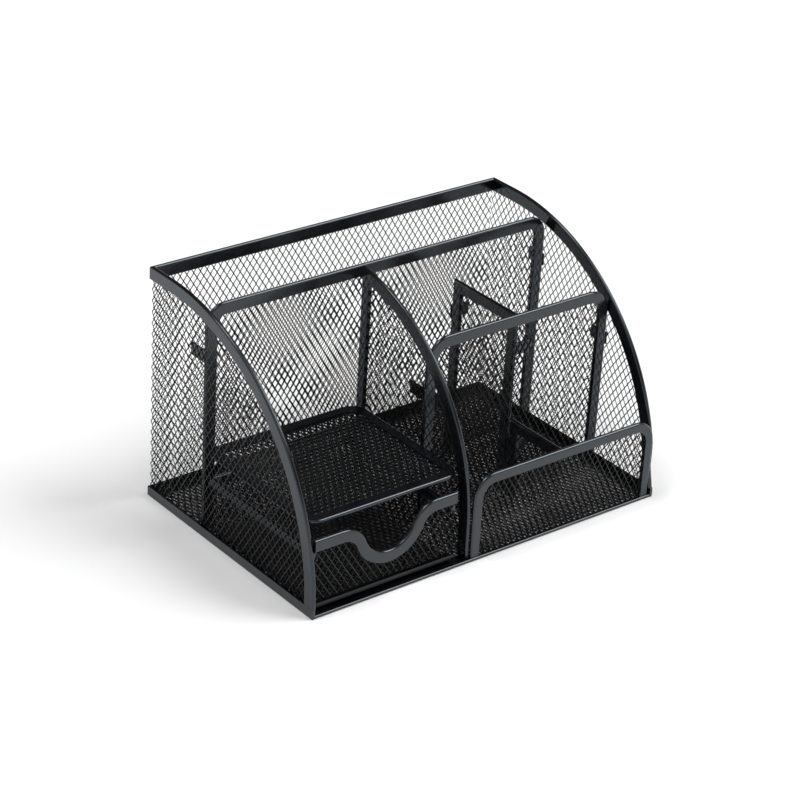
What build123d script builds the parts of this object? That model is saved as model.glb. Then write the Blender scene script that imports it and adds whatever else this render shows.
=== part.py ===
from build123d import *
import os

os.makedirs("parts", exist_ok=True)

# Desk pen stand of open mesh sheet held in folded channel rims, with one sliding drawer.
# Millimetres. Origin at the centre of the footprint, on the surface it stands on.
# +X to the right, +Y to the back, +Z up.

# whole object
width = 220.0
depth = 143.0
height = 129.0

# sheet metal
skin = 0.8  # one layer of a folded strip
net = 0.8  # thickness of an open mesh sheet
channel = skin + net + skin  # a strip folded over a mesh edge
fold = 0.7  # corners eased off along the fold
side_band = 7.0
panel_band = 6.5
back_band = 6.0
low_band = 6.2

# open mesh: diamonds standing on their points
cell_across = 27.0
cell_along = 41.0
strand = 3.0  # metal between two openings
border = 3.0  # unbroken edge inside a rim
foot_border = 1.6
smallest_opening = 16.0  # square millimetres

# foot
base_skin = 0.5
floor_net = 0.6
floor_top = base_skin + floor_net
hem_height = floor_top + base_skin
hem_reach = 2.0
hem_fold = 0.7
base_height = 5.3
base_flange = 6.0
return_width = 1.6

# quarter-round sides
half_width = width / 2
half_depth = depth / 2
side_plane = half_width - channel / 2
side_inner = half_width - channel
mesh_inner = side_plane - net / 2
mesh_outer = side_plane + net / 2
arc_centre_y = 53.0
arc_radius = arc_centre_y + half_depth
back_plane = half_depth - channel / 2
back_inner = half_depth - channel

# upright panels
rear_y = 26.0
rear_top = 125.0
rear_corner = 11.0
front_y = -27.0
front_top = 103.8
front_corner = 13.5
middle_x = -13.2
middle_front = -69.3
middle_radius = 105.6
cross_x = 47.2
cross_top = 102.6
low_x = 46.2
low_top = 45.0
fence_y = -69.4
fence_top = 46.6
fence_corner = 13.0
fence_band = 5.3
rear_face = rear_y - channel / 2
front_face = front_y - channel / 2
front_back_face = front_y + channel / 2
middle_right = middle_x + channel / 2
fence_back_face = fence_y + channel / 2
set_back_top = 17.0  # below this the right wall slants forward to its foot

# tray over the drawer
shelf_z = 46.4
shelf_front = -62.4
shelf_corner = 10.0
shelf_band = 6.0

# drawer
drawer_left = -107.3
drawer_right = -21.3
drawer_y = -67.2
drawer_back = 20.5
drawer_bottom = 2.0
drawer_top = 41.2
drawer_wall_top = 34.0
drawer_band = 5.0
drawer_front_band = 6.2
drawer_hem_top = 6.2
drawer_hem_radius = 3.2
drawer_hem_reach = 8.0
dip_middle = -62.0  # nearer to the right end
dip_depth = 19.6
dip_radius = 15.5
shoulder_radius = 15.0

# bent tabs
tab_tall = 7.0
tab_long = 12.0
rear_tab_foot = 95.0
front_tab_foot = 71.0
cross_tab_foot = 80.0
low_tab_foot = 24.0


def rounded_panel(left, right, foot, top, corner, inset=0.0, foot_inset=0.0):
    """Upright outline with round upper corners, drawn in at the left, right and top."""
    with BuildSketch() as outline:
        with Locations(((left + right) / 2, foot + foot_inset)):
            Rectangle(
                right - left - 2 * inset,
                top - foot - inset - foot_inset,
                align=(Align.CENTER, Align.MIN),
            )
        if corner > inset:
            fillet(outline.vertices().group_by(Axis.Y)[-1], corner - inset)
    return outline.sketch


def side_outline(foot, inset=0.0, back=half_depth, foot_inset=0.0):
    """Side wall: upright front, quarter circle, short level top, upright back."""
    centre_z = height - arc_radius
    radius = arc_radius - inset
    foot_z = foot + foot_inset
    # where the quarter circle starts above the foot
    start_z = max(centre_z, foot_z)
    start_y = arc_centre_y - (radius**2 - (start_z - centre_z) ** 2) ** 0.5
    front_foot = (arc_centre_y - radius, foot_z) if foot_z < centre_z else (start_y, start_z)
    middle = (arc_centre_y - radius * 0.5**0.5, centre_z + radius * 0.5**0.5)
    with BuildSketch() as outline:
        with BuildLine():
            ThreePointArc((start_y, start_z), middle, (arc_centre_y, centre_z + radius))
            Polyline(
                (arc_centre_y, centre_z + radius),
                (back, centre_z + radius),
                (back, foot_z),
                front_foot,
            )
            if foot_z < centre_z:
                Line(front_foot, (start_y, start_z))
        make_face()
    return outline.sketch


def set_back(inset=0.0):
    """Waste at the front of the right wall, which passes behind the low wall."""
    back = fence_back_face + inset
    spare = -half_depth - 1
    with BuildSketch() as waste:
        Polygon(
            (spare, base_height), (back, set_back_top), (back, fence_top), (spare, fence_top), align=None
        )
    return waste.sketch


def middle_outline(inset=0.0, back_inset=0.0, foot_inset=0.0):
    """Middle divider: upright front, quarter circle up to the rear divider."""
    centre_y = middle_front + middle_radius
    centre_z = rear_top - middle_radius
    radius = middle_radius - inset
    back = rear_face - back_inset
    foot = floor_top + foot_inset
    top = centre_z + (radius**2 - (centre_y - back) ** 2) ** 0.5
    middle = (centre_y - radius * 0.5**0.5, centre_z + radius * 0.5**0.5)
    with BuildSketch() as outline:
        with BuildLine():
            ThreePointArc((centre_y - radius, centre_z), middle, (back, top))
            Polyline(
                (back, top), (back, foot), (centre_y - radius, foot), (centre_y - radius, centre_z)
            )
        make_face()
    return outline.sketch


def drawer_front_outline(inset=0.0, side_inset=0.0, foot=drawer_hem_top - 1.0):
    """Drawer front: level top edge that dips in two S-curves for a finger."""
    centres = dip_radius + shoulder_radius
    reach = (centres**2 - (centres - dip_depth) ** 2) ** 0.5  # shoulder from the middle
    shoulder = shoulder_radius - inset
    dip = dip_radius + inset
    top = drawer_top - inset
    shoulder_z = drawer_top - shoulder_radius
    dip_z = drawer_top - dip_depth + dip_radius
    # where shoulder and dip meet, on the line between their centres
    meet_x = reach * dip / centres
    meet_z = dip_z - (dip_z - shoulder_z) * dip / centres
    # halfway round the shoulder
    turn = Vector(reach - meet_x, meet_z - shoulder_z).normalized() + Vector(0, 1)
    crest = turn.normalized() * shoulder
    left = drawer_left + side_inset
    right = drawer_right - side_inset
    with BuildSketch() as outline:
        with BuildLine():
            Line((left, top), (dip_middle - reach, top))
            ThreePointArc(
                (dip_middle - reach, top),
                (dip_middle - reach + crest.X, shoulder_z + crest.Y),
                (dip_middle - meet_x, meet_z),
            )
            ThreePointArc(
                (dip_middle - meet_x, meet_z),
                (dip_middle, dip_z - dip),
                (dip_middle + meet_x, meet_z),
            )
            ThreePointArc(
                (dip_middle + meet_x, meet_z),
                (dip_middle + reach - crest.X, shoulder_z + crest.Y),
                (dip_middle + reach, top),
            )
            Polyline(
                (dip_middle + reach, top), (right, top), (right, foot), (left, foot), (left, top)
            )
        make_face()
    return outline.sketch


def openings(inside):
    """Diamond openings of the mesh sheet, kept within an outline."""
    half_across = cell_across / 2
    half_along = cell_along / 2
    inner = half_across * half_along / (half_across**2 + half_along**2) ** 0.5
    share = 1 - strand / 2 / inner
    middle = inside.bounding_box().center()
    size = inside.bounding_box().size
    columns = int(size.X / cell_across) + 2
    rows = int(size.Y / cell_along) + 2
    with BuildSketch() as diamonds:
        for shift in (0, 1):
            with Locations((middle.X + shift * half_across, middle.Y + shift * half_along)):
                with GridLocations(cell_across, cell_along, columns, rows):
                    Polygon(
                        (half_across * share, 0),
                        (0, half_along * share),
                        (-half_across * share, 0),
                        (0, -half_along * share),
                    )
        add(inside, mode=Mode.INTERSECT)
    return diamonds.faces().filter_by(lambda face: face.area > smallest_opening)


def folded_edges(solid, plane, outer, inner):
    """Edges of a channel where its strip is folded over the mesh."""
    folds = [edge for edge in outer.edges() if inner.distance_to(edge @ 0.5) > 0.01]
    found = ShapeList()
    for edge in solid.edges():
        place = plane.to_local_coords(edge @ 0.5)
        flat = Vector(place.X, place.Y, 0)
        on_face = abs(abs(place.Z) - channel / 2) < 0.01
        if on_face and min(line.distance_to(flat) for line in folds) < 0.01:
            found.append(edge)
    return found


def keep(piece, name):
    """Label a finished piece and write it out."""
    piece.part.label = name
    export_step(piece.part, f"parts/{name}.step")
    box = piece.part.bounding_box()
    print(f"{name:26s} {len(piece.part.solids())} {piece.part.volume:9.1f}", box.size)


def make_net(name, plane, outline, holes, thickness=net):
    """One open mesh sheet, its openings cut through one flat face."""
    with BuildPart() as mesh:
        with BuildSketch(plane):
            add(outline)
            add(openings(holes), mode=Mode.SUBTRACT)
        extrude(amount=thickness / 2, both=True)
    keep(mesh, name)


def make_channel(name, plane, outer, inner, slot):
    """One strip folded over a mesh edge, with the slot that the mesh sits in."""
    with BuildPart() as rim:
        with BuildSketch(plane):
            add(outer)
            add(inner, mode=Mode.SUBTRACT)
        extrude(amount=channel / 2, both=True)
        chamfer(folded_edges(rim, plane, outer, inner), fold)
        with BuildSketch(plane):
            add(slot)
        extrude(amount=net / 2, both=True, mode=Mode.SUBTRACT)
    return rim


def corner_cut(inner_x, inner_y, outer_x, outer_y, keeps_side):
    """Waste beyond the mitre between a side strip and a back strip."""
    spare_x = outer_x + (1 if outer_x > inner_x else -1)
    spare_y = outer_y + 1
    off = (inner_x, spare_y) if keeps_side else (spare_x, inner_y)
    with BuildPart() as waste:
        with BuildSketch(Plane.XY):
            Polygon((inner_x, inner_y), off, (spare_x, spare_y), align=None)
        extrude(amount=height + 1)
    return waste.part


def make_tab(name, low, high):
    """A flat tab between two opposite corners."""
    with BuildPart() as tab:
        with Locations(((low[0] + high[0]) / 2, (low[1] + high[1]) / 2, (low[2] + high[2]) / 2)):
            Box(high[0] - low[0], high[1] - low[1], high[2] - low[2])
    keep(tab, name)


# floor sheet, its diamonds long from front to back
floor_front = -half_depth + base_skin
floor_back = back_plane - net / 2
with BuildSketch() as floor_shape:
    with Locations((0, (floor_front + floor_back) / 2)):
        Rectangle(2 * mesh_inner, floor_back - floor_front)
with BuildSketch() as floor_holes:
    with Locations((0, (floor_front + floor_back) / 2)):
        Rectangle(2 * (mesh_inner - border), floor_back - floor_front - 2 * border)
make_net(
    "floor_mesh",
    Plane.XY.offset(base_skin + floor_net / 2),
    floor_shape.sketch,
    floor_holes.sketch,
    floor_net,
)

# thin hem folded over the front edge of the floor
with BuildPart() as base_hem_front:
    with BuildSketch(Plane.YZ):
        with Locations((-half_depth, 0)):
            Rectangle(hem_reach, hem_height, align=(Align.MIN, Align.MIN))
    extrude(amount=mesh_inner, both=True)
    fillet(base_hem_front.edges().filter_by(Axis.X).group_by(Axis.Y)[0], hem_fold)
    with BuildSketch(Plane.YZ):
        with Locations((floor_front, base_skin)):
            Rectangle(hem_reach, floor_net, align=(Align.MIN, Align.MIN))
    extrude(amount=mesh_inner, both=True, mode=Mode.SUBTRACT)
keep(base_hem_front, "base_hem_front")

# angle strips under and outside the foot of the walls
for name, side in (("left", -1), ("right", 1)):
    with BuildPart() as base_band:
        with BuildSketch(Plane.XY):
            with Locations((side * (half_width + mesh_outer) / 2, -half_depth)):
                Rectangle(half_width - mesh_outer, depth - skin, align=(Align.CENTER, Align.MIN))
            with Locations((side * (half_width - return_width / 2), -half_depth)):
                Rectangle(return_width, skin, align=(Align.CENTER, Align.MIN))
        extrude(amount=base_height)
        with BuildSketch(Plane.XY):
            with Locations((side * (half_width - base_flange / 2), -half_depth + hem_reach)):
                Rectangle(
                    base_flange,
                    depth - hem_reach - base_flange,
                    align=(Align.CENTER, Align.MIN),
                )
        extrude(amount=base_skin)
    keep(base_band, f"base_band_{name}")

with BuildPart() as base_band_back:
    with BuildSketch(Plane.XY):
        with Locations((0, half_depth)):
            Rectangle(width, skin, align=(Align.CENTER, Align.MAX))
    extrude(amount=base_height)
    with BuildSketch(Plane.XY):
        with Locations((0, half_depth - skin)):
            Rectangle(2 * mesh_outer, base_flange - skin, align=(Align.CENTER, Align.MAX))
    extrude(amount=base_skin)
keep(base_band_back, "base_band_back")

# walls
with BuildPart() as set_back_waste:
    with BuildSketch(Plane.YZ.offset(side_inner - 1)):
        add(set_back())
    extrude(amount=channel + 2)
for name, side in (("left", -1), ("right", 1)):
    plane = Plane.YZ.offset(side * side_plane)
    with BuildSketch() as wall:
        add(side_outline(base_skin, skin, half_depth - skin))
        if name == "right":
            add(set_back(), mode=Mode.SUBTRACT)
    with BuildSketch() as wall_holes:
        add(side_outline(base_skin, border + skin, half_depth - border, base_height))
        if name == "right":
            add(set_back(border), mode=Mode.SUBTRACT)
    make_net(f"{name}_side_mesh", plane, wall.sketch, wall_holes.sketch)
    side_rim = make_channel(
        f"{name}_side_rim",
        plane,
        side_outline(base_height),
        side_outline(base_height, side_band),
        side_outline(base_height, skin),
    )
    with side_rim:
        add(
            corner_cut(side * side_inner, back_inner, side * half_width, half_depth, True),
            mode=Mode.SUBTRACT,
        )
        if name == "right":
            add(set_back_waste.part, mode=Mode.SUBTRACT)
    keep(side_rim, f"{name}_side_rim")

with BuildSketch() as back_shape:
    with Locations((0, base_skin)):
        Rectangle(
            2 * mesh_inner, height - skin - base_skin, align=(Align.CENTER, Align.MIN)
        )
with BuildSketch() as back_holes:
    with Locations((0, base_height)):
        Rectangle(
            2 * (mesh_inner - border),
            height - skin - border - base_height,
            align=(Align.CENTER, Align.MIN),
        )
make_net("back_mesh", Plane.XZ.offset(-back_plane), back_shape.sketch, back_holes.sketch)

# strip over the back wall's top edge, its ends mitred to meet the sides'
with BuildPart() as back_rim:
    with BuildSketch(Plane.YZ):
        with Locations((back_plane, height)):
            Rectangle(channel, side_band, align=(Align.CENTER, Align.MAX))
    extrude(amount=half_width, both=True)
    chamfer(back_rim.edges().filter_by(Axis.X).group_by(Axis.Z)[-1], fold)
    with BuildSketch(Plane.YZ):
        with Locations((back_plane, height - skin)):
            Rectangle(net, side_band, align=(Align.CENTER, Align.MAX))
    extrude(amount=half_width, both=True, mode=Mode.SUBTRACT)
    for side in (-1, 1):
        add(
            corner_cut(side * side_inner, back_inner, side * half_width, half_depth, False),
            mode=Mode.SUBTRACT,
        )
keep(back_rim, "back_rim")


def make_panel(name, plane, left, right, foot, top, corner, band):
    """Upright panel: mesh sheet and the strip round its sides and top."""
    make_net(
        f"{name}_mesh",
        plane,
        rounded_panel(left, right, foot, top, corner, skin),
        rounded_panel(left, right, foot, top, corner, border, foot_border),
    )
    rim = make_channel(
        f"{name}_rim",
        plane,
        rounded_panel(left, right, foot, top, corner),
        rounded_panel(left, right, foot, top, corner, band),
        rounded_panel(left, right, foot, top, corner, skin),
    )
    keep(rim, f"{name}_rim")


# full-width panel in front of the rear compartment
make_panel(
    "rear_divider",
    Plane.XZ.offset(-rear_y),
    -side_inner,
    side_inner,
    floor_top,
    rear_top,
    rear_corner,
    panel_band,
)

# panel across the right half
make_panel(
    "front_divider",
    Plane.XZ.offset(-front_y),
    middle_right,
    side_inner,
    floor_top,
    front_top,
    front_corner,
    low_band,
)

# low wall at the front
make_panel(
    "fence",
    Plane.XZ.offset(-fence_y),
    middle_right,
    side_inner,
    hem_height,
    fence_top,
    fence_corner,
    fence_band,
)

# square panel between the pen compartments
make_panel(
    "cross_divider",
    Plane.YZ.offset(cross_x),
    front_back_face,
    rear_face,
    floor_top,
    cross_top,
    0,
    low_band,
)

# quarter-round panel beside the drawer
middle_plane = Plane.YZ.offset(middle_x)
make_net(
    "middle_divider_mesh",
    middle_plane,
    middle_outline(skin, skin),
    middle_outline(border, border, foot_border),
)
middle_rim = make_channel(
    "middle_divider_rim",
    middle_plane,
    middle_outline(),
    middle_outline(side_band, back_band),
    middle_outline(skin, skin),
)
keep(middle_rim, "middle_divider_rim")


def low_outline(top_inset=0.0, back_inset=0.0, front_inset=0.0, foot_inset=0.0):
    """Low panel behind the fence, bound along its top and back only."""
    with BuildSketch() as outline:
        with Locations((fence_back_face + front_inset, floor_top + foot_inset)):
            Rectangle(
                front_face - fence_back_face - back_inset - front_inset,
                low_top - floor_top - top_inset - foot_inset,
                align=(Align.MIN, Align.MIN),
            )
    return outline.sketch


low_plane = Plane.YZ.offset(low_x)
make_net(
    "low_divider_mesh",
    low_plane,
    low_outline(skin, skin),
    low_outline(border, border, foot_border, foot_border),
)
low_rim = make_channel(
    "low_divider_rim",
    low_plane,
    low_outline(),
    low_outline(low_band, low_band),
    low_outline(skin, skin),
)
keep(low_rim, "low_divider_rim")

# tray over the drawer, bound all the way round
shelf_left = -mesh_inner
shelf_right = middle_x - net / 2
shelf_middle = ((shelf_left + shelf_right) / 2, (shelf_front + rear_face) / 2)


def shelf_outline(inset=0.0):
    """Level tray with round corners."""
    with BuildSketch() as outline:
        with Locations(shelf_middle):
            RectangleRounded(
                shelf_right - shelf_left - 2 * inset,
                rear_face - shelf_front - 2 * inset,
                shelf_corner - inset,
            )
    return outline.sketch


shelf_plane = Plane.XY.offset(shelf_z)
make_net("shelf_mesh", shelf_plane, shelf_outline(skin), shelf_outline(border))
shelf_rim = make_channel(
    "shelf_rim", shelf_plane, shelf_outline(), shelf_outline(shelf_band), shelf_outline(skin)
)
keep(shelf_rim, "shelf_rim")

# tabs bent off the panels, flat against the mesh that carries them
for name, side in (("left", -1), ("right", 1)):
    make_tab(
        f"rear_divider_tab_{name}",
        (min(side * side_inner, side * mesh_inner), rear_face, rear_tab_foot),
        (
            max(side * side_inner, side * mesh_inner),
            rear_face + tab_long,
            rear_tab_foot + tab_tall,
        ),
    )
make_tab(
    "front_divider_tab_left",
    (middle_x + net / 2, front_face, front_tab_foot),
    (middle_right, front_face + tab_long, front_tab_foot + tab_tall),
)
make_tab(
    "front_divider_tab_right",
    (side_inner, front_face, front_tab_foot),
    (mesh_inner, front_face + tab_long, front_tab_foot + tab_tall),
)
make_tab(
    "cross_divider_tab_rear",
    (cross_x - channel / 2, rear_face, cross_tab_foot),
    (cross_x - channel / 2 + tab_long, rear_y - net / 2, cross_tab_foot + tab_tall),
)
make_tab(
    "cross_divider_tab_front",
    (cross_x - channel / 2, front_y + net / 2, cross_tab_foot),
    (cross_x - channel / 2 + tab_long, front_back_face, cross_tab_foot + tab_tall),
)
make_tab(
    "low_divider_tab",
    (low_x - channel / 2, front_face, low_tab_foot),
    (low_x - channel / 2 + tab_long, front_y - net / 2, low_tab_foot + tab_tall),
)

# drawer front with its finger dip
drawer_front_plane = Plane.XZ.offset(-drawer_y)
make_net(
    "drawer_front_mesh",
    drawer_front_plane,
    drawer_front_outline(skin),
    drawer_front_outline(border, foot_border, drawer_hem_top),
)
drawer_front_rim = make_channel(
    "drawer_front_rim",
    drawer_front_plane,
    drawer_front_outline(),
    drawer_front_outline(drawer_front_band),
    drawer_front_outline(skin),
)
keep(drawer_front_rim, "drawer_front_rim")

# strip that rolls from the foot of the drawer's front under its floor
drawer_face = drawer_y - channel / 2
with BuildPart() as drawer_front_hem:
    with BuildSketch(Plane.YZ.offset(drawer_left)):
        with BuildLine() as outside:
            Line(
                (drawer_face, drawer_hem_top),
                (drawer_face, drawer_bottom + drawer_hem_radius),
            )
            RadiusArc(
                (drawer_face, drawer_bottom + drawer_hem_radius),
                (drawer_face + drawer_hem_radius, drawer_bottom),
                -drawer_hem_radius,
            )
            Line(
                (drawer_face + drawer_hem_radius, drawer_bottom),
                (drawer_face + drawer_hem_reach, drawer_bottom),
            )
            offset(amount=skin, side=Side.LEFT)
        make_face()
    extrude(amount=drawer_right - drawer_left)
keep(drawer_front_hem, "drawer_front_hem")

# drawer box behind the front
box_left = drawer_left + channel / 2
box_right = drawer_right - channel / 2
box_front = drawer_y + net / 2
box_back = drawer_back - channel / 2
box_foot = drawer_bottom + skin
hem_centre_y = drawer_face + drawer_hem_radius


def drawer_side_outline(top, foot=box_foot, front_inset=0.0, back=box_back + net / 2):
    """Drawer side, its lower front corner cut back to clear the rolled strip."""
    with BuildSketch() as outline:
        with BuildLine():
            Polyline(
                (hem_centre_y + front_inset, foot),
                (back, foot),
                (back, top),
                (box_front + front_inset, top),
                (box_front + front_inset, foot + skin),
                (hem_centre_y + front_inset, foot),
            )
        make_face()
    return outline.sketch


for name, middle, outer in (("left", box_left, drawer_left), ("right", box_right, drawer_right)):
    plane = Plane.YZ.offset(middle)
    make_net(
        f"drawer_{name}_mesh",
        plane,
        drawer_side_outline(drawer_wall_top - skin),
        drawer_side_outline(
            drawer_wall_top - border, box_foot + foot_border, foot_border, box_back - foot_border
        ),
    )
    inner_x = 2 * middle - outer
    with BuildPart() as drawer_side_rim:
        with BuildSketch(Plane.XZ.offset(-box_front)):
            with Locations((middle, drawer_wall_top)):
                Rectangle(channel, drawer_band, align=(Align.CENTER, Align.MAX))
        extrude(amount=-(drawer_back - box_front))
        chamfer(drawer_side_rim.edges().filter_by(Axis.Y).group_by(Axis.Z)[-1], fold)
        with BuildSketch(Plane.XZ.offset(-box_front)):
            with Locations((middle, drawer_wall_top - skin)):
                Rectangle(net, drawer_band, align=(Align.CENTER, Align.MAX))
        extrude(amount=-(drawer_back - box_front), mode=Mode.SUBTRACT)
        add(
            corner_cut(inner_x, drawer_back - channel, outer, drawer_back, True),
            mode=Mode.SUBTRACT,
        )
    keep(drawer_side_rim, f"drawer_{name}_rim")

with BuildSketch() as drawer_back_shape:
    with Locations(((box_left + box_right) / 2, box_foot)):
        Rectangle(
            box_right - box_left - net,
            drawer_wall_top - skin - box_foot,
            align=(Align.CENTER, Align.MIN),
        )
with BuildSketch() as drawer_back_holes:
    with Locations(((box_left + box_right) / 2, box_foot + foot_border)):
        Rectangle(
            box_right - box_left - net - 2 * foot_border,
            drawer_wall_top - border - box_foot - foot_border,
            align=(Align.CENTER, Align.MIN),
        )
make_net(
    "drawer_back_mesh",
    Plane.XZ.offset(-box_back),
    drawer_back_shape.sketch,
    drawer_back_holes.sketch,
)

with BuildPart() as drawer_back_rim:
    with BuildSketch(Plane.YZ.offset(drawer_left)):
        with Locations((box_back, drawer_wall_top)):
            Rectangle(channel, drawer_band, align=(Align.CENTER, Align.MAX))
    extrude(amount=drawer_right - drawer_left)
    chamfer(drawer_back_rim.edges().filter_by(Axis.X).group_by(Axis.Z)[-1], fold)
    with BuildSketch(Plane.YZ.offset(drawer_left)):
        with Locations((box_back, drawer_wall_top - skin)):
            Rectangle(net, drawer_band, align=(Align.CENTER, Align.MAX))
    extrude(amount=drawer_right - drawer_left, mode=Mode.SUBTRACT)
    for middle, outer in ((box_left, drawer_left), (box_right, drawer_right)):
        add(
            corner_cut(2 * middle - outer, drawer_back - channel, outer, drawer_back, False),
            mode=Mode.SUBTRACT,
        )
keep(drawer_back_rim, "drawer_back_rim")

# drawer floor, its diamonds long from front to back
drawer_floor_back = box_back - net / 2
drawer_floor_middle = ((box_left + box_right) / 2, (hem_centre_y + drawer_floor_back) / 2)
with BuildSketch() as drawer_floor_shape:
    with Locations(drawer_floor_middle):
        Rectangle(box_right - box_left - net, drawer_floor_back - hem_centre_y)
with BuildSketch() as drawer_floor_holes:
    with Locations(drawer_floor_middle):
        Rectangle(
            box_right - box_left - net - 2 * border,
            drawer_floor_back - hem_centre_y - 2 * border,
        )
make_net(
    "drawer_floor_mesh",
    Plane.XY.offset(box_foot + net / 2),
    drawer_floor_shape.sketch,
    drawer_floor_holes.sketch,
)
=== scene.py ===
import bmesh
import bpy
import math
from mathutils import Matrix, Vector


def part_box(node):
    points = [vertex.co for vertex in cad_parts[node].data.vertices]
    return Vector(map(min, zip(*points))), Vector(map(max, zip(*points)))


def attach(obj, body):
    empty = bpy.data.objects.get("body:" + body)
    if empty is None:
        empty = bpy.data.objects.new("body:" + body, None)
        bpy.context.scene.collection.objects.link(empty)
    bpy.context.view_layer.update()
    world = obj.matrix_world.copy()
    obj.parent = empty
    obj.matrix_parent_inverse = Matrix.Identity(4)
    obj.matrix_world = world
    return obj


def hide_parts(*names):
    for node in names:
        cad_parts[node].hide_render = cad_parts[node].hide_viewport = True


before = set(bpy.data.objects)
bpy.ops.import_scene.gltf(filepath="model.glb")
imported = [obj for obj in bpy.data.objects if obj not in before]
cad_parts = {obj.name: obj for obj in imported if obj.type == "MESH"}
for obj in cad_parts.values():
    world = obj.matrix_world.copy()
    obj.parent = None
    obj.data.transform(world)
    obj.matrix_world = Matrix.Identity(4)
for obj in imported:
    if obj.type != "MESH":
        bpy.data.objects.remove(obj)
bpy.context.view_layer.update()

mm = 0.001
hair = 0.001 * mm  # closer than this is the same place
scene = bpy.context.scene
print("frame loaded:", len(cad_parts), "nodes")


def deselectAll():
    # back to object mode with nothing chosen
    if bpy.context.object and bpy.context.object.mode != "OBJECT":
        bpy.ops.object.mode_set(mode="OBJECT")
    bpy.ops.object.select_all(action="DESELECT")


def pick(piece):
    deselectAll()
    piece.select_set(True)
    bpy.context.view_layer.objects.active = piece


def nameIt(piece, name):
    piece.name = name
    piece.data.name = name


def selectVerts(piece, test):
    # edit mode, vertices chosen by place
    bm = bmesh.from_edit_mesh(piece.data)
    bm.select_mode = {"VERT"}
    for vert in bm.verts:
        vert.select = bool(test(vert.co))
    bm.select_flush_mode()
    bmesh.update_edit_mesh(piece.data)


def applyModifier(piece, kind, **values):
    # one modifier, set and applied at once
    pick(piece)
    bpy.ops.object.modifier_add(type=kind)
    modifier = piece.modifiers[-1]
    for key, value in values.items():
        setattr(modifier, key, value)
    bpy.ops.object.modifier_apply(modifier=modifier.name)


def link(tree, source, sourceSocket, target, targetSocket):
    tree.links.new(source.outputs[sourceSocket], target.inputs[targetSocket])


cameraSettings = {
    "azimuth": -39.49,
    "elevation": 27.54,
    "roll": 3.41,
    "distance": 1.32619,
    "target": (-0.00518, 0.0, 0.05723),
    "lens": 117.83,
    "sensor": 36.0,
    "nearest": 0.05,
    "farthest": 60,
}


def addCamera(settings):
    # looks back along its own line at the target, then rolls
    azimuth = math.radians(settings["azimuth"])
    elevation = math.radians(settings["elevation"])
    roll = math.radians(settings["roll"])
    back = Vector((
        math.sin(azimuth) * math.cos(elevation),
        -math.cos(azimuth) * math.cos(elevation),
        math.sin(elevation),
    ))
    right = (-back).cross(Vector((0, 0, 1))).normalized()
    up = right.cross(-back)
    rolledRight = right * math.cos(roll) + up * math.sin(roll)
    rolledUp = up * math.cos(roll) - right * math.sin(roll)
    place = Vector(settings["target"]) + back * settings["distance"]
    turn = Matrix((rolledRight, rolledUp, back)).transposed()
    deselectAll()
    bpy.ops.object.camera_add(location=place, rotation=turn.to_euler())
    camera = bpy.context.object
    nameIt(camera, "photoCamera")
    camera.data.lens = settings["lens"]
    camera.data.sensor_width = settings["sensor"]
    camera.data.clip_start = settings["nearest"]
    camera.data.clip_end = settings["farthest"]
    camera.data.dof.use_dof = False
    scene.camera = camera


addCamera(cameraSettings)
print("camera placed")


studioSettings = {
    # light by height above the horizon: (height of the direction, level)
    "worldLevels": ((0.0, 0.9), (0.2, 0.8), (0.36, 0.08), (1.0, 0.06)),
    "floorSize": 40.0,
    "floorColor": (0.97, 0.97, 0.972, 1),
    "floorDrop": 0.2 * mm,
    "floorRoughness": 0.9,
    "floorShine": 0.1,
}

lampSettings = [
    # from: where the light comes from; spread: how wide it looks, in degrees
    {"name": "keyLight", "from": (0.55, -0.36, 0.75), "spread": 38, "strength": 2.4},
    {"name": "leftLight", "from": (-0.5, -0.35, 0.8), "spread": 60, "strength": 0.75},
    {"name": "topLight", "from": (-0.3, 0.17, 0.94), "spread": 17, "strength": 0.95},
]


def addLamp(settings):
    # a broad distant light
    turn = Vector(settings["from"]).to_track_quat("Z", "Y").to_euler()
    deselectAll()
    bpy.ops.object.light_add(type="SUN", location=Vector(settings["from"]), rotation=turn)
    lamp = bpy.context.object
    nameIt(lamp, settings["name"])
    lamp.data.angle = math.radians(settings["spread"])
    lamp.data.energy = settings["strength"]


def addStudio(settings):
    # bright round the horizon, dim overhead
    world = bpy.data.worlds.new("studioWorld")
    world.use_nodes = True
    tree = world.node_tree
    coords = tree.nodes.new("ShaderNodeTexCoord")
    split = tree.nodes.new("ShaderNodeSeparateXYZ")
    ramp = tree.nodes.new("ShaderNodeValToRGB")
    link(tree, coords, "Generated", split, "Vector")
    link(tree, split, "Z", ramp, "Fac")
    readyStops = len(ramp.color_ramp.elements)
    for index, (height, level) in enumerate(settings["worldLevels"]):
        if index < readyStops:
            stop = ramp.color_ramp.elements[index]
            stop.position = height
        else:
            stop = ramp.color_ramp.elements.new(height)
        stop.color = (level, level, level, 1)
    link(tree, ramp, "Color", tree.nodes["Background"], "Color")
    scene.world = world

    deselectAll()
    bpy.ops.mesh.primitive_plane_add(size=settings["floorSize"], location=(0, 0, 0))
    floor = bpy.context.object
    floor.location.z = -settings["floorDrop"]
    bpy.ops.object.transform_apply(location=True, rotation=True, scale=True)
    nameIt(floor, "studioFloor")
    paper = bpy.data.materials.new("floorPaper")
    paper.use_nodes = True
    shader = paper.node_tree.nodes["Principled BSDF"]
    shader.inputs["Base Color"].default_value = settings["floorColor"]
    shader.inputs["Roughness"].default_value = settings["floorRoughness"]
    shader.inputs["Specular IOR Level"].default_value = settings["floorShine"]
    floor.data.materials.append(paper)


addStudio(studioSettings)
for lamp in lampSettings:
    addLamp(lamp)
scene.view_settings.view_transform = "Standard"
print("studio lit")


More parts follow.
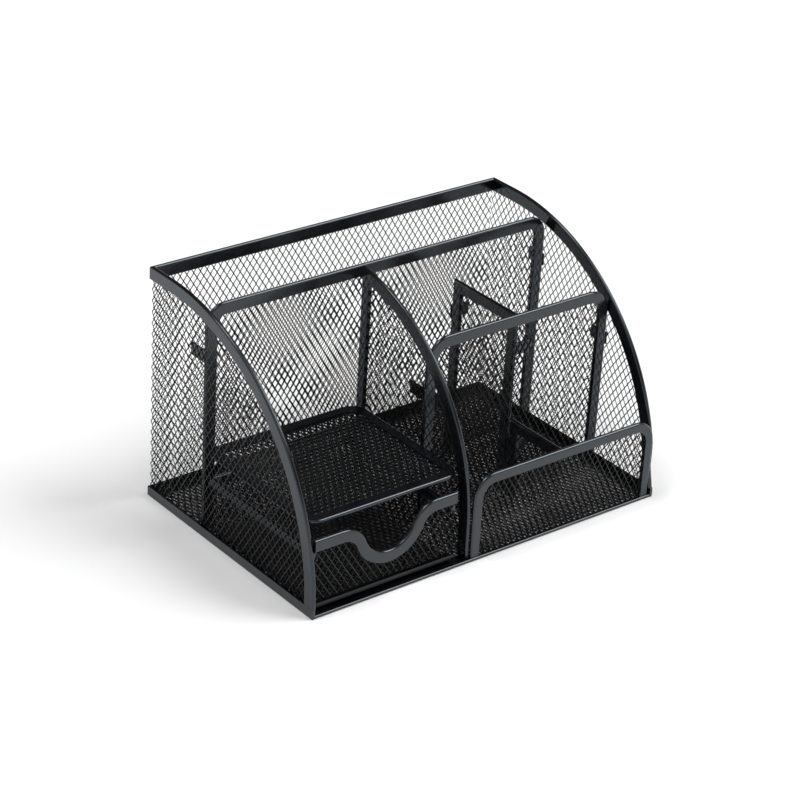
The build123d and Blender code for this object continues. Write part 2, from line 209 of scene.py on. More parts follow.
coatSettings = {
    # what all the paints share
    "cloudDetail": 4,
    "glossDetail": 3,
    "peelDetail": 2,
    "grainDetail": 1,
    "grainShare": 0.35,
    "noiseRange": (0.3, 0.7),  # most of a noise lies between these
}


def noiseNode(tree, coords, scale, detail):
    noise = tree.nodes.new("ShaderNodeTexNoise")
    noise.inputs["Scale"].default_value = scale
    noise.inputs["Detail"].default_value = detail
    link(tree, coords, "Object", noise, "Vector")
    return noise


def makeCoat(name, settings):
    coat = bpy.data.materials.new(name)
    coat.use_nodes = True
    tree = coat.node_tree
    shader = tree.nodes["Principled BSDF"]
    coords = tree.nodes.new("ShaderNodeTexCoord")
    lowest, highest = coatSettings["noiseRange"]

    # faint clouds of colour in the powder
    clouds = noiseNode(tree, coords, settings["cloudScale"], coatSettings["cloudDetail"])
    ramp = tree.nodes.new("ShaderNodeValToRGB")
    ramp.color_ramp.elements[0].position = lowest
    ramp.color_ramp.elements[0].color = settings["dark"]
    ramp.color_ramp.elements[1].position = highest
    ramp.color_ramp.elements[1].color = settings["light"]
    link(tree, clouds, "Fac", ramp, "Fac")
    link(tree, ramp, "Color", shader, "Base Color")

    # gloss wanders a little
    gloss = noiseNode(tree, coords, settings["glossScale"], coatSettings["glossDetail"])
    spread = tree.nodes.new("ShaderNodeMapRange")
    spread.inputs["From Min"].default_value = lowest
    spread.inputs["From Max"].default_value = highest
    spread.inputs["To Min"].default_value = settings["roughness"][0]
    spread.inputs["To Max"].default_value = settings["roughness"][1]
    link(tree, gloss, "Fac", spread, "Value")
    link(tree, spread, "Result", shader, "Roughness")

    # orange peel of the baked powder
    peel = noiseNode(tree, coords, settings["peelScale"], coatSettings["peelDetail"])
    grain = noiseNode(tree, coords, settings["grainScale"], coatSettings["grainDetail"])
    both = tree.nodes.new("ShaderNodeMath")
    both.operation = "MULTIPLY_ADD"
    both.inputs[1].default_value = coatSettings["grainShare"]
    link(tree, grain, "Fac", both, 0)
    link(tree, peel, "Fac", both, 2)
    bump = tree.nodes.new("ShaderNodeBump")
    bump.inputs["Strength"].default_value = settings["bumpStrength"]
    bump.inputs["Distance"].default_value = settings["bumpDistance"]
    link(tree, both, "Value", bump, "Height")
    link(tree, bump, "Normal", shader, "Normal")

    shader.inputs["Metallic"].default_value = 0.0
    shader.inputs["Specular IOR Level"].default_value = settings["specular"]
    shader.inputs["Specular Tint"].default_value = settings["sheen"]
    return coat


rimCoat = makeCoat("rimPowderCoat", {
    "dark": (0.0018, 0.0021, 0.0028, 1),
    "light": (0.0034, 0.0039, 0.005, 1),
    "sheen": (0.8, 0.91, 1.0, 1),
    "cloudScale": 60,
    "glossScale": 90,
    "roughness": (0.15, 0.22),
    "peelScale": 700,
    "grainScale": 2600,
    "bumpStrength": 0.18,
    "bumpDistance": 0.05 * mm,
    "specular": 0.72,
})

meshPaintSettings = {
    "dark": (0.0008, 0.0008, 0.001, 1),
    "light": (0.0016, 0.0017, 0.002, 1),
    "sheen": (0.95, 0.98, 1.0, 1),
    "cloudScale": 120,
    "glossScale": 200,
    "roughness": (0.16, 0.24),
    "peelScale": 1800,
    "grainScale": 5200,
    "bumpStrength": 0.15,
    "bumpDistance": 0.03 * mm,
    "specular": 0.22,
}
meshCoat = makeCoat("meshPowderCoat", meshPaintSettings)

# painted highlight: level sheets take a much glossier copy of the mesh paint, so they glint more
# than the same paint elsewhere
glintFloorPaintSettings = dict(meshPaintSettings, specular=1.0, roughness=(0.1, 0.16))
glintFloorCoat = makeCoat("floorMeshPaintedGlintCoat", glintFloorPaintSettings)
# painted shade: the drawer's rolled foot takes a copy of the mesh paint, a little glossier than the
# mesh but darker than the rims it belongs with, for the shade it sits in
shadedHemPaintSettings = dict(meshPaintSettings, specular=0.32, roughness=(0.18, 0.26))
shadedHemCoat = makeCoat("hemPaintedShadeCoat", shadedHemPaintSettings)

baseCoat = makeCoat("basePowderCoat", {
    "dark": (0.0018, 0.002, 0.0025, 1),
    "light": (0.0032, 0.0036, 0.0044, 1),
    "sheen": (0.9, 0.96, 1.0, 1),
    "cloudScale": 50,
    "glossScale": 80,
    "roughness": (0.16, 0.24),
    "peelScale": 700,
    "grainScale": 2600,
    "bumpStrength": 0.18,
    "bumpDistance": 0.05 * mm,
    "specular": 0.7,
})
print("finishes mixed")


def dress(piece, material):
    piece.data.materials.clear()
    piece.data.materials.append(material)


# expanded mesh: pitch across and along a diamond, strand width, flat beside each bond,
# lean of the strands and their thickness
wallMesh = {
    "pitch": (4.03 * mm, 6.13 * mm),
    "strand": 0.52 * mm,
    "bondCut": 0.28 * mm,
    "tilt": 0.16 * mm,
    "thickness": 0.26 * mm,
}
panelMesh = dict(wallMesh, pitch=(3.7 * mm, 6.3 * mm))
floorMesh = {
    "pitch": (3.7 * mm, 6.2 * mm),
    "strand": 1.05 * mm,
    "bondCut": 0.3 * mm,
    "tilt": 0.3 * mm,
    "thickness": 0.3 * mm,
}


def makeCell(across, along, tiltSide, settings):
    # one diamond opening in the strands round it, out to their middles
    deselectAll()
    bpy.ops.mesh.primitive_circle_add(vertices=4, radius=1, fill_type="NGON", location=(0, 0, 0))
    cell = bpy.context.object
    bpy.ops.object.mode_set(mode="EDIT")
    bpy.ops.mesh.select_all(action="SELECT")
    bpy.ops.transform.resize(value=(across / 2, along / 2, 1))
    bpy.ops.mesh.inset(thickness=settings["strand"] / 2, depth=0)
    # the two side corners of the opening become short uprights beside the bonds
    holeReach = max(abs(v.co.x) for v in bmesh.from_edit_mesh(cell.data).verts if v.select)
    selectVerts(cell, lambda co: abs(abs(co.x) - holeReach) < hair and abs(co.y) < hair)
    bpy.ops.mesh.bevel(offset=settings["bondCut"], affect="VERTICES", segments=1)
    nearOutline = 1 - 1e-4  # the shares of both half pitches add up to 1 on the outline

    def inside(co):
        return abs(co.x) / (across / 2) + abs(co.y) / (along / 2) < nearOutline

    # strands lean, one edge out and one edge in
    sideOfCell = across / 8
    selectVerts(cell, lambda co: inside(co) and co.x > sideOfCell)
    bpy.ops.transform.translate(value=(0, 0, tiltSide * settings["tilt"]))
    selectVerts(cell, lambda co: inside(co) and co.x < -sideOfCell)
    bpy.ops.transform.translate(value=(0, 0, -tiltSide * settings["tilt"]))
    # the opening itself, a face of six corners
    bm = bmesh.from_edit_mesh(cell.data)
    bm.select_mode = {"FACE"}
    for face in bm.faces:
        face.select = len(face.verts) == 6 and all(inside(v.co) for v in face.verts)
    bm.select_flush_mode()
    bmesh.update_edit_mesh(cell.data)
    bpy.ops.mesh.delete(type="FACE")
    bpy.ops.object.mode_set(mode="OBJECT")
    return cell


def bisectAt(piece, point, normal, fill=False):
    # cuts away what lies past a plane; fill closes the cut again
    pick(piece)
    bpy.ops.object.mode_set(mode="EDIT")
    bpy.ops.mesh.select_all(action="SELECT")
    bpy.ops.mesh.bisect(plane_co=point, plane_no=normal, clear_outer=True, use_fill=fill)
    bpy.ops.object.mode_set(mode="OBJECT")


turns = {
    # a sheet's own across, along and out to the room's axes
    "front": (math.radians(90), 0, 0),
    "side": (math.radians(90), 0, math.radians(90)),
    "floor": (0, 0, 0),
}


def makeSheet(node, body, name, settings, keeps=None):
    # a sheet of cells in place of the frame's mesh node
    low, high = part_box(node)
    centre = (low + high) / 2
    size = high - low
    facing = settings["facing"]
    wide = size.y if facing == "side" else size.x
    tall = size.y if facing == "floor" else size.z
    across, along = settings["mesh"]["pitch"]
    sheet = makeCell(across, along, settings["tiltSide"], settings["mesh"])
    nameIt(sheet, name)
    spareCells = 3  # past the sheet's edges, cut off below
    columns = int(wide / across) + spareCells
    rows = int(tall / along) + spareCells
    merge = {
        "use_relative_offset": False,
        "use_constant_offset": True,
        "use_merge_vertices": True,
        "merge_threshold": 0.02 * mm,
    }
    halfStep = (across / 2, along / 2, 0)
    applyModifier(sheet, "ARRAY", count=2, constant_offset_displace=halfStep, **merge)
    applyModifier(sheet, "ARRAY", count=columns, constant_offset_displace=(across, 0, 0), **merge)
    applyModifier(sheet, "ARRAY", count=rows, constant_offset_displace=(0, along, 0), **merge)
    # centred on the sheet, turned and set in its channel
    pick(sheet)
    sheet.location = (
        -(columns - 0.5) * across / 2 + across / 4,
        -(rows - 0.5) * along / 2 + along / 4,
        0,
    )
    bpy.ops.object.transform_apply(location=True, rotation=True, scale=True)
    sheet.rotation_euler = turns[facing]
    sheet.location = centre
    bpy.ops.object.transform_apply(location=True, rotation=True, scale=True)
    # cut to size
    thin = {"front": "y", "side": "x", "floor": "z"}[facing]
    normals = {"x": Vector((1, 0, 0)), "y": Vector((0, 1, 0)), "z": Vector((0, 0, 1))}
    for axis, normal in normals.items():
        if axis != thin:
            bisectAt(sheet, low, -normal)
            bisectAt(sheet, high, normal)
    if keeps:
        bpy.ops.object.mode_set(mode="EDIT")
        selectVerts(sheet, lambda co: not keeps(co, low, high))
        bpy.ops.mesh.delete(type="VERT")
        bpy.ops.object.mode_set(mode="OBJECT")
    applyModifier(sheet, "SOLIDIFY", thickness=settings["mesh"]["thickness"], offset=0)
    bpy.ops.object.shade_smooth()
    # level sheets take the glossier painted-highlight copy of the mesh paint
    dress(sheet, glintFloorCoat if facing == "floor" else meshCoat)
    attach(sheet, body)
    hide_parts(node)
    print(name, len(sheet.data.polygons), "faces")


def roundedTop(corner):
    # keeps what lies inside round upper corners
    def keeps(co, low, high):
        across = "x" if high.x - low.x > high.y - low.y else "y"
        position = getattr(co, across)
        near = min(position - getattr(low, across), getattr(high, across) - position)
        down = high.z - co.z
        if near > corner or down > corner:
            return True
        return math.hypot(corner - near, corner - down) < corner
    return keeps


def quarterRound(settings):
    # keeps what lies inside a quarter-round side
    centreY = settings["arcCentreY"]
    centreZ = settings["arcCentreZ"]
    radius = settings["arcRadius"]

    def keeps(co, low, high):
        if co.y > centreY:
            return True
        if co.z < centreZ:
            return co.y > centreY - radius
        return math.hypot(co.y - centreY, co.z - centreZ) < radius
    return keeps


def roundedAll(corner):
    # keeps what lies inside four round corners
    def keeps(co, low, high):
        near = min(co.x - low.x, high.x - co.x)
        deep = min(co.y - low.y, high.y - co.y)
        if near > corner or deep > corner:
            return True
        return math.hypot(corner - near, corner - deep) < corner
    return keeps


def fingerDip(settings):
    # below the drawer front's S-curved top
    centres = settings["dipRadius"] + settings["shoulderRadius"]
    reach = math.sqrt(centres ** 2 - (centres - settings["depth"]) ** 2)
    dipZ = settings["top"] - settings["depth"] + settings["dipRadius"]
    shoulderZ = settings["top"] - settings["shoulderRadius"]
    dipRadius = settings["dipRadius"] + settings["edge"]
    shoulderRadius = settings["shoulderRadius"] - settings["edge"]
    meetX = reach * settings["dipRadius"] / centres

    def keeps(co, low, high):
        away = abs(co.x - settings["middle"])
        if away > reach:
            return co.z < settings["top"] - settings["edge"]
        if math.hypot(away, co.z - dipZ) < dipRadius:
            return False
        if away > meetX and co.z > shoulderZ:
            return math.hypot(away - reach, co.z - shoulderZ) < shoulderRadius
        return co.z < dipZ
    return keeps


sideSheetSettings = {
    "mesh": wallMesh,
    "facing": "side",
    "tiltSide": -1,
    "arcCentreY": 53.0 * mm,
    "arcCentreZ": 4.5 * mm,
    "arcRadius": 124.2 * mm,
}
sideKeeps = quarterRound(sideSheetSettings)
makeSheet("left_side_mesh", "frame", "leftSideSheet", sideSheetSettings, sideKeeps)

setBackSettings = {
    # the right wall passes behind the low wall: its front slants back, then stands
    "frontY": -71.5 * mm,
    "foot": 5.3 * mm,
    "slantRise": 11.7 * mm,
    "depth": 3.3 * mm,
    "spare": 0.1 * mm,
}


def setBackKeeps(co, low, high):
    settings = setBackSettings
    share = min(max((co.z - settings["foot"]) / settings["slantRise"], 0), 1)
    line = settings["frontY"] + share * settings["depth"]
    return sideKeeps(co, low, high) and co.y > line + settings["spare"]


makeSheet("right_side_mesh", "frame", "rightSideSheet", sideSheetSettings, setBackKeeps)

backSheetSettings = {"mesh": wallMesh, "facing": "front", "tiltSide": 1}
makeSheet("back_mesh", "frame", "backSheet", backSheetSettings)

floorSheetSettings = {
    "mesh": floorMesh,
    "facing": "floor",
    "tiltSide": -1,
    # painted shade: a solid dark sheet takes over from the mesh in front of the drawer, where the
    # floor lies in the drawer's shade
    "shadeSheetBack": -64.4 * mm,
    "shadeSheetRight": -14.8 * mm,
}


def floorKeeps(co, low, high):
    # the floor mesh stops where the painted-shade sheet lies
    return co.y > floorSheetSettings["shadeSheetBack"] or co.x > floorSheetSettings["shadeSheetRight"]


makeSheet("floor_mesh", "frame", "floorSheet", floorSheetSettings, floorKeeps)

rearSheetSettings = {"mesh": panelMesh, "facing": "front", "tiltSide": 1, "corner": 10.7 * mm}
makeSheet("rear_divider_mesh", "frame", "rearDividerSheet", rearSheetSettings,
          roundedTop(rearSheetSettings["corner"]))

frontSheetSettings = {"mesh": panelMesh, "facing": "front", "tiltSide": 1, "corner": 13.0 * mm}
makeSheet("front_divider_mesh", "frame", "frontDividerSheet", frontSheetSettings,
          roundedTop(frontSheetSettings["corner"]))

fenceSheetSettings = {"mesh": panelMesh, "facing": "front", "tiltSide": 1, "corner": 12.5 * mm}
makeSheet("fence_mesh", "frame", "fenceSheet", fenceSheetSettings,
          roundedTop(fenceSheetSettings["corner"]))

crossSheetSettings = {"mesh": wallMesh, "facing": "side", "tiltSide": -1}
makeSheet("cross_divider_mesh", "frame", "crossDividerSheet", crossSheetSettings)

middleSheetSettings = {
    "mesh": wallMesh,
    "facing": "side",
    "tiltSide": -1,
    "arcCentreY": 36.3 * mm,
    "arcCentreZ": 19.4 * mm,
    "arcRadius": 105.3 * mm,
}
makeSheet("middle_divider_mesh", "frame", "middleDividerSheet", middleSheetSettings,
          quarterRound(middleSheetSettings))

lowSheetSettings = {"mesh": wallMesh, "facing": "side", "tiltSide": -1}
makeSheet("low_divider_mesh", "frame", "lowDividerSheet", lowSheetSettings)

traySheetSettings = {"mesh": floorMesh, "facing": "floor", "tiltSide": -1, "corner": 9.0 * mm}
makeSheet("shelf_mesh", "frame", "traySheet", traySheetSettings,
          roundedAll(traySheetSettings["corner"]))

drawerSheetSettings = {
    "mesh": wallMesh,
    "facing": "front",
    "tiltSide": 1,
    "top": 41.2 * mm,
    "middle": -62.0 * mm,
    "depth": 19.6 * mm,
    "dipRadius": 15.5 * mm,
    "shoulderRadius": 15.0 * mm,
    "edge": 0.3 * mm,
}
makeSheet("drawer_front_mesh", "drawer", "drawerFrontSheet", drawerSheetSettings,
          fingerDip(drawerSheetSettings))

drawerWallSettings = {"mesh": wallMesh, "facing": "side", "tiltSide": -1}
makeSheet("drawer_left_mesh", "drawer", "drawerLeftSheet", drawerWallSettings)
makeSheet("drawer_right_mesh", "drawer", "drawerRightSheet", drawerWallSettings)
drawerBackSettings = {"mesh": wallMesh, "facing": "front", "tiltSide": 1}
makeSheet("drawer_back_mesh", "drawer", "drawerBackSheet", drawerBackSettings)
drawerFloorSettings = {"mesh": floorMesh, "facing": "floor", "tiltSide": -1}
makeSheet("drawer_floor_mesh", "drawer", "drawerFloorSheet", drawerFloorSettings)
print("sheets woven")


foldSettings = {
    "thickness": 2.4 * mm,
    "foldRadius": 1.15 * mm,
    "foldSteps": 6,
    "edgeRadius": 0.22 * mm,
    "edgeSteps": 2,
    "smoothAngle": 40,
    "flatWeight": 80,  # how far flat faces keep their own shading
    "cornerSteps": 12,
}

axesOf = {
    # a flat piece's own across, along and out
    "front": (Vector((1, 0, 0)), Vector((0, 0, 1)), Vector((0, -1, 0))),
    "side": (Vector((0, 1, 0)), Vector((0, 0, 1)), Vector((1, 0, 0))),
    "floor": (Vector((1, 0, 0)), Vector((0, 1, 0)), Vector((0, 0, 1))),
}


def slantEnd(strip, place, heading, inward, ratio):
    # leans the selected end along its heading, its inner edge moved most;
    # corners at one depth move together
    bm = bmesh.from_edit_mesh(strip.data)
    ends = [vert for vert in bm.verts if vert.select]
    depths = {vert: round((vert.co - place).dot(inward), 7) for vert in ends}
    for depth in sorted(set(depths.values())):
        for vert in bm.verts:
            vert.select = depths.get(vert) == depth
        bm.select_flush_mode()
        bpy.ops.transform.translate(value=heading * depth * ratio)
    for vert in ends:
        vert.select = True
    bm.select_flush(True)
    bmesh.update_edit_mesh(strip.data)


def foldStrip(name, settings):
    # a strip folded over a mesh edge; its path runs along the fold with the mesh to the left,
    # in runs (length), turns (radius, degrees, steps), mitres and slants (ratio)
    across, along, out = axesOf[settings["facing"]]
    shape = dict(foldSettings, **settings)
    thickness = shape["thickness"]
    band = settings["band"]
    nearly = 10 * hair
    place = Vector(settings["start"])
    angle = math.radians(settings["heading"])
    heading = across * math.cos(angle) + along * math.sin(angle)
    inward = out.cross(heading)
    deselectAll()
    turn = Matrix((inward, out, inward.cross(out))).transposed().to_euler()
    bpy.ops.mesh.primitive_plane_add(size=1, location=place + inward * band / 2, rotation=turn)
    strip = bpy.context.object
    nameIt(strip, name)
    strip.scale = (band, thickness, 1)
    bpy.ops.object.transform_apply(location=True, rotation=True, scale=True)
    # section: round at the fold, nearly sharp at the open edge
    bpy.ops.object.mode_set(mode="EDIT")
    selectVerts(strip, lambda co: (co - place).dot(inward) < nearly)
    bpy.ops.mesh.bevel(offset=shape["foldRadius"], affect="VERTICES", segments=shape["foldSteps"])
    selectVerts(strip, lambda co: (co - place).dot(inward) > band - nearly)
    bpy.ops.mesh.bevel(offset=shape["edgeRadius"], affect="VERTICES", segments=shape["edgeSteps"])
    bpy.ops.mesh.select_all(action="SELECT")
    if "startSlant" in settings:
        slantEnd(strip, place, heading, inward, settings["startSlant"])
    leaning = False
    for kind, *values in settings["steps"]:
        if kind == "run":
            length = values[0]
            bpy.ops.mesh.extrude_region_move(TRANSFORM_OT_translate={"value": heading * length})
            place = place + heading * length
            if leaning:
                slantEnd(strip, place, heading, inward, -1)
                leaning = False
        elif kind == "turn":
            radius, degrees, steps = values
            side = 1 if degrees > 0 else -1
            centre = place + inward * radius * side
            # spin turns the other way round its axis
            bpy.ops.mesh.spin(steps=steps, angle=-math.radians(degrees), center=centre, axis=out)
            swing = Matrix.Rotation(math.radians(degrees), 3, out)
            place = centre + swing @ (place - centre)
            heading = swing @ heading
            inward = out.cross(heading)
        elif kind == "mitre":
            slantEnd(strip, place, heading, inward, -1)
            heading, inward = inward, -heading
            leaning = True
        elif kind == "slant":
            slantEnd(strip, place, heading, inward, values[0])
    bpy.ops.mesh.select_all(action="SELECT")
    bpy.ops.mesh.remove_doubles(threshold=2 * hair)
    if settings.get("closed"):
        bpy.ops.mesh.select_all(action="DESELECT")
        bpy.ops.mesh.select_mode(type="FACE")
        bpy.ops.mesh.select_interior_faces()
        bpy.ops.mesh.delete(type="FACE")
    bpy.ops.object.mode_set(mode="OBJECT")
    return strip


def finishStrip(strip, body, node, material):
    # outward faces, shading, paint and its place in the frame
    pick(strip)
    bpy.ops.object.mode_set(mode="EDIT")
    bpy.ops.mesh.select_all(action="SELECT")
    bpy.ops.mesh.normals_make_consistent(inside=False)
    bpy.ops.object.mode_set(mode="OBJECT")
    bpy.ops.object.shade_smooth_by_angle(angle=math.radians(foldSettings["smoothAngle"]))
    applyModifier(strip, "WEIGHTED_NORMAL", keep_sharp=True, weight=foldSettings["flatWeight"])
    dress(strip, material)
    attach(strip, body)
    if node:
        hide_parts(node)
    print(strip.name, len(strip.data.polygons), "faces")


# the two side walls: level top, quarter circle, foot
sideRimSettings = {
    "facing": "side",
    "band": 7.0 * mm,
    "backY": 71.5 * mm,
    "innerX": 107.6 * mm,
    "middleX": 108.8 * mm,
    "top": 129.0 * mm,
    "setBackY": -68.2 * mm,
    "setBackFoot": 16.5 * mm,
    "heading": 180,
    "steps": (
        ("run", 18.5 * mm),
        ("turn", 124.5 * mm, 76.76, 40),
        ("turn", 124.5 * mm, 7.47, 6),
        ("turn", 124.5 * mm, 5.4, 1),
    ),
}
for word, side in (("left", -1), ("right", 1)):
    settings = sideRimSettings
    rim = foldStrip(word + "SideRim", dict(settings, start=(
        side * settings["middleX"], settings["backY"], settings["top"])))
    corner = (side * settings["innerX"], settings["backY"] - foldSettings["thickness"], 0)
    bisectAt(rim, corner, Vector((-side, 1, 0)), fill=True)
    if side > 0:
        # pressed back where it passes behind the low wall
        bpy.ops.object.mode_set(mode="EDIT")
        selectVerts(rim, lambda co: co.y < settings["setBackY"] and co.z > settings["setBackFoot"])
        bpy.ops.transform.resize(value=(1, 0, 1), center_override=(0, settings["setBackY"], 0))
        bpy.ops.object.mode_set(mode="OBJECT")
    finishStrip(rim, "frame", word + "_side_rim", rimCoat)

backRimSettings = {
    "facing": "front",
    "band": 7.0 * mm,
    "start": (110.0 * mm, 70.3 * mm, 129.0 * mm),
    "heading": 180,
    "steps": (("run", 220.0 * mm),),
    "cornerX": 107.6 * mm,
    "cornerY": 69.1 * mm,
}
rim = foldStrip("backRim", backRimSettings)
for side in (-1, 1):
    corner = (side * backRimSettings["cornerX"], backRimSettings["cornerY"], 0)
    bisectAt(rim, corner, Vector((side, -1, 0)), fill=True)
finishStrip(rim, "frame", "back_rim", rimCoat)


def archedRim(name, node, settings):
    # up the right side, over the top and down the left, with round corners
    corner = settings["corner"]
    rise = settings["top"] - settings["foot"] - corner
    turn = ("turn", corner, 90, foldSettings["cornerSteps"])
    rim = foldStrip(name, {
        "facing": "front",
        "band": settings["band"],
        "start": (settings["right"], settings["y"], settings["foot"]),
        "heading": 90,
        "steps": (
            ("run", rise),
            turn,
            ("run", settings["right"] - settings["left"] - 2 * corner),
            turn,
            ("run", rise),
        ),
    })
    finishStrip(rim, "frame", node, rimCoat)


rearRimSettings = {
    "y": 26.0 * mm,
    "left": -107.6 * mm,
    "right": 107.6 * mm,
    "foot": 1.1 * mm,
    "top": 125.0 * mm,
    "corner": 11.0 * mm,
    "band": 6.5 * mm,
}
archedRim("rearDividerRim", "rear_divider_rim", rearRimSettings)

frontRimSettings = {
    "y": -27.0 * mm,
    "left": -12.0 * mm,
    "right": 107.6 * mm,
    "foot": 1.1 * mm,
    "top": 103.8 * mm,
    "corner": 13.5 * mm,
    "band": 6.2 * mm,
}
archedRim("frontDividerRim", "front_divider_rim", frontRimSettings)

fenceRimSettings = {
    "y": -69.4 * mm,
    "left": -12.0 * mm,
    "right": 107.6 * mm,
    "foot": 1.6 * mm,
    "top": 46.6 * mm,
    "corner": 13.0 * mm,
    "band": 5.3 * mm,
}
archedRim("fenceRim", "fence_rim", fenceRimSettings)

# square strip round three sides of the panel between the pens
crossRimSettings = {
    "facing": "side",
    "band": 6.2 * mm,
    "start": (47.2 * mm, 24.8 * mm, 1.1 * mm),
    "heading": 90,
    "steps": (
        ("run", 101.5 * mm), ("mitre",), ("run", 50.6 * mm), ("mitre",), ("run", 101.5 * mm),
    ),
}
finishStrip(foldStrip("crossDividerRim", crossRimSettings), "frame", "cross_divider_rim", rimCoat)

# top and back of the low panel
lowRimSettings = {
    "facing": "side",
    "band": 6.2 * mm,
    "start": (46.2 * mm, -28.2 * mm, 1.1 * mm),
    "heading": 90,
    "steps": (("run", 43.9 * mm), ("mitre",), ("run", 40.0 * mm)),
}
finishStrip(foldStrip("lowDividerRim", lowRimSettings), "frame", "low_divider_rim", rimCoat)

# quarter circle beside the drawer, and the upright that holds its back end
middleArchSettings = {
    "facing": "side",
    "band": 7.0 * mm,
    "start": (-13.2 * mm, 24.8 * mm, 124.37 * mm),
    "heading": 186.25,
    "startSlant": -0.1095,
    "steps": (("turn", 105.6 * mm, 83.75, 42), ("run", 18.3 * mm)),
}
middleUprightSettings = {
    "facing": "side",
    "band": 6.0 * mm,
    "start": (-13.2 * mm, 24.8 * mm, 1.1 * mm),
    "heading": 90,
    "steps": (("run", 116.23 * mm), ("slant", -0.15)),
}
rim = foldStrip("middleDividerRim", middleArchSettings)
finishStrip(rim, "frame", "middle_divider_rim", rimCoat)
rim = foldStrip("middleDividerUpright", middleUprightSettings)
finishStrip(rim, "frame", None, rimCoat)

trayTurn = ("turn", 10.0 * mm, 90, foldSettings["cornerSteps"])
trayRimSettings = {
    "facing": "floor",
    "band": 6.0 * mm,
    "start": (-61.0 * mm, -62.4 * mm, 46.4 * mm),
    "heading": 0,
    "steps": (
        # from the middle of the front, all the way round
        ("run", 37.4 * mm), trayTurn, ("run", 67.2 * mm), trayTurn,
        ("run", 74.8 * mm), trayTurn, ("run", 67.2 * mm), trayTurn,
        ("run", 37.4 * mm),
    ),
    "closed": True,
}
finishStrip(foldStrip("trayRim", trayRimSettings), "frame", "shelf_rim", rimCoat)

# the drawer front's strip, with the finger dip in its top edge
dipSettings = {
    "middle": -62.0 * mm,
    "reach": 28.486 * mm,  # from the middle to where the top is level again
    "swing": 69.06,
    "radius": 15.5 * mm,
    "shoulder": 15.0 * mm,
}
drawerLeft = -107.3 * mm
drawerRight = -21.3 * mm
drawerRimSettings = {
    "facing": "front",
    "band": 6.2 * mm,
    "start": (drawerRight, -67.2 * mm, 41.2 * mm),
    "heading": 180,
    "steps": (
        ("run", drawerRight - dipSettings["middle"] - dipSettings["reach"]),
        ("turn", dipSettings["shoulder"], dipSettings["swing"], foldSettings["cornerSteps"]),
        ("turn", dipSettings["radius"], -2 * dipSettings["swing"], 2 * foldSettings["cornerSteps"]),
        ("turn", dipSettings["shoulder"], dipSettings["swing"], foldSettings["cornerSteps"]),
        ("run", dipSettings["middle"] - dipSettings["reach"] - drawerLeft),
    ),
}
finishStrip(foldStrip("drawerFrontRim", drawerRimSettings), "drawer", "drawer_front_rim", rimCoat)

# strips along the tops of the drawer's sides and back, mitred where they meet
drawerTopSettings = {"band": 5.0 * mm, "top": 34.0 * mm, "backY": 20.5 * mm, "frontY": -66.8 * mm}
backY = drawerTopSettings["backY"]
for word, outerX, side in (("left", drawerLeft, -1), ("right", drawerRight, 1)):
    innerX = outerX - side * foldSettings["thickness"]
    rim = foldStrip("drawer" + word.capitalize() + "Rim", {
        "facing": "side",
        "band": drawerTopSettings["band"],
        "start": ((outerX + innerX) / 2, backY, drawerTopSettings["top"]),
        "heading": 180,
        "steps": (("run", backY - drawerTopSettings["frontY"]),),
    })
    bisectAt(rim, (outerX, backY, 0), Vector((-side, 1, 0)), fill=True)
    finishStrip(rim, "drawer", "drawer_" + word + "_rim", rimCoat)

rim = foldStrip("drawerBackRim", {
    "facing": "front",
    "band": drawerTopSettings["band"],
    "start": (drawerRight, backY - foldSettings["thickness"] / 2, drawerTopSettings["top"]),
    "heading": 180,
    "steps": (("run", drawerRight - drawerLeft),),
})
bisectAt(rim, (drawerRight, backY, 0), Vector((1, -1, 0)), fill=True)
bisectAt(rim, (drawerLeft, backY, 0), Vector((-1, -1, 0)), fill=True)
finishStrip(rim, "drawer", "drawer_back_rim", rimCoat)

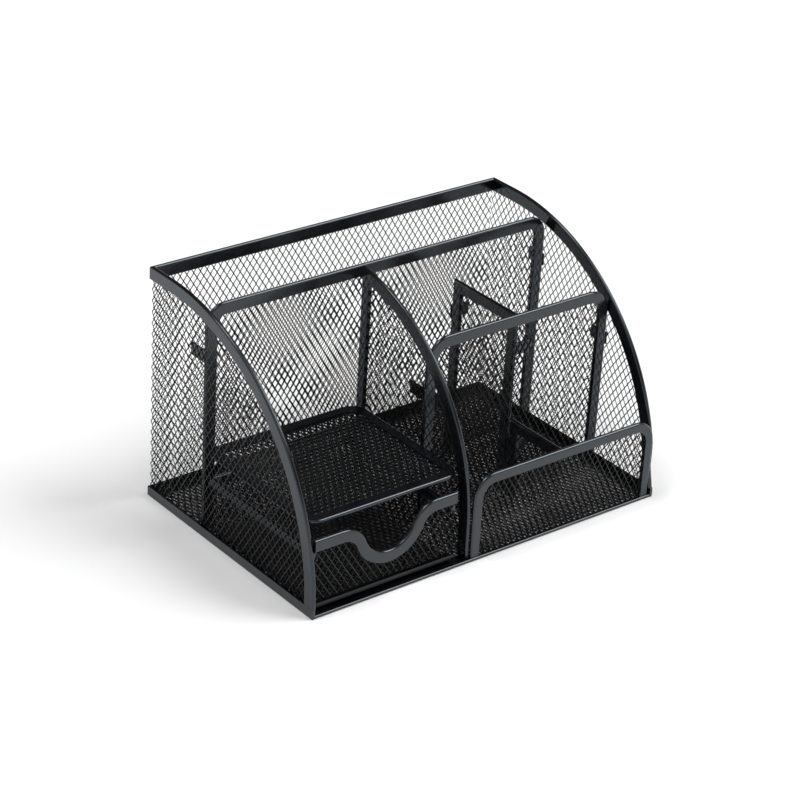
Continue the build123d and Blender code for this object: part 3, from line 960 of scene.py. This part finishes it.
# thin hem along the foot's front
baseHemSettings = {
    "facing": "floor",
    "thickness": 1.6 * mm,
    "band": 2.0 * mm,
    "foldRadius": 0.76 * mm,
    "edgeRadius": 0.12 * mm,
    "start": (-108.4 * mm, -71.5 * mm, 0.8 * mm),
    "heading": 0,
    "steps": (("run", 216.8 * mm),),
}
finishStrip(foldStrip("baseHem", baseHemSettings), "frame", "base_hem_front", baseCoat)

# painted shade: a solid dark sheet in place of the floor mesh under the drawer's front, standing in
# for the shade there
drawerShadeSheetSettings = {
    "facing": "floor",
    "thickness": 0.3 * mm,
    "band": 7.0 * mm,
    "foldRadius": 0.05 * mm,
    "edgeRadius": 0.05 * mm,
    "start": (-107.4 * mm, -71.0 * mm, 0.9 * mm),
    "heading": 0,
    "steps": (("run", 92.8 * mm),),
}
finishStrip(foldStrip("drawerShadeSheet", drawerShadeSheetSettings), "frame", None, baseCoat)

# the drawer front's foot, rolled under
drawerHemSettings = {
    "facing": "side",
    "thickness": drawerRight - drawerLeft,
    "band": 0.8 * mm,
    "foldRadius": 0.15 * mm,
    "edgeRadius": 0.1 * mm,
    "start": ((drawerLeft + drawerRight) / 2, -68.4 * mm, 6.2 * mm),
    "heading": 270,
    "steps": (
        ("run", 1.0 * mm), ("turn", 3.2 * mm, 90, foldSettings["cornerSteps"]), ("run", 4.8 * mm),
    ),
}
# painted with the darker copy of the paint that stands in for the shade under the drawer
finishStrip(foldStrip("drawerFrontHem", drawerHemSettings), "drawer", "drawer_front_hem", shadedHemCoat)
print("strips folded")

plainSettings = {
    "mergeReach": 0.005 * mm,
    "softening": 0.28 * mm,
    "softeningSteps": 3,
    "sharpAngle": 25,
}


def softenPlain(node, material, settings):
    # tabs and the foot keep the frame's own shapes, their edges eased
    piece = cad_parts[node]
    weld = piece.modifiers.new("weld", "WELD")
    weld.merge_threshold = settings["mergeReach"]
    bevel = piece.modifiers.new("roundFold", "BEVEL")
    bevel.width = settings["softening"]
    bevel.segments = settings["softeningSteps"]
    bevel.limit_method = "ANGLE"
    bevel.angle_limit = math.radians(settings["sharpAngle"])
    bevel.use_clamp_overlap = True
    for index in range(len(piece.material_slots)):
        piece.material_slots[index].material = material


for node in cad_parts:
    if "_tab" in node:
        softenPlain(node, rimCoat, plainSettings)
    elif node.startswith("base_band"):
        softenPlain(node, baseCoat, plainSettings)
print("tabs and foot painted")
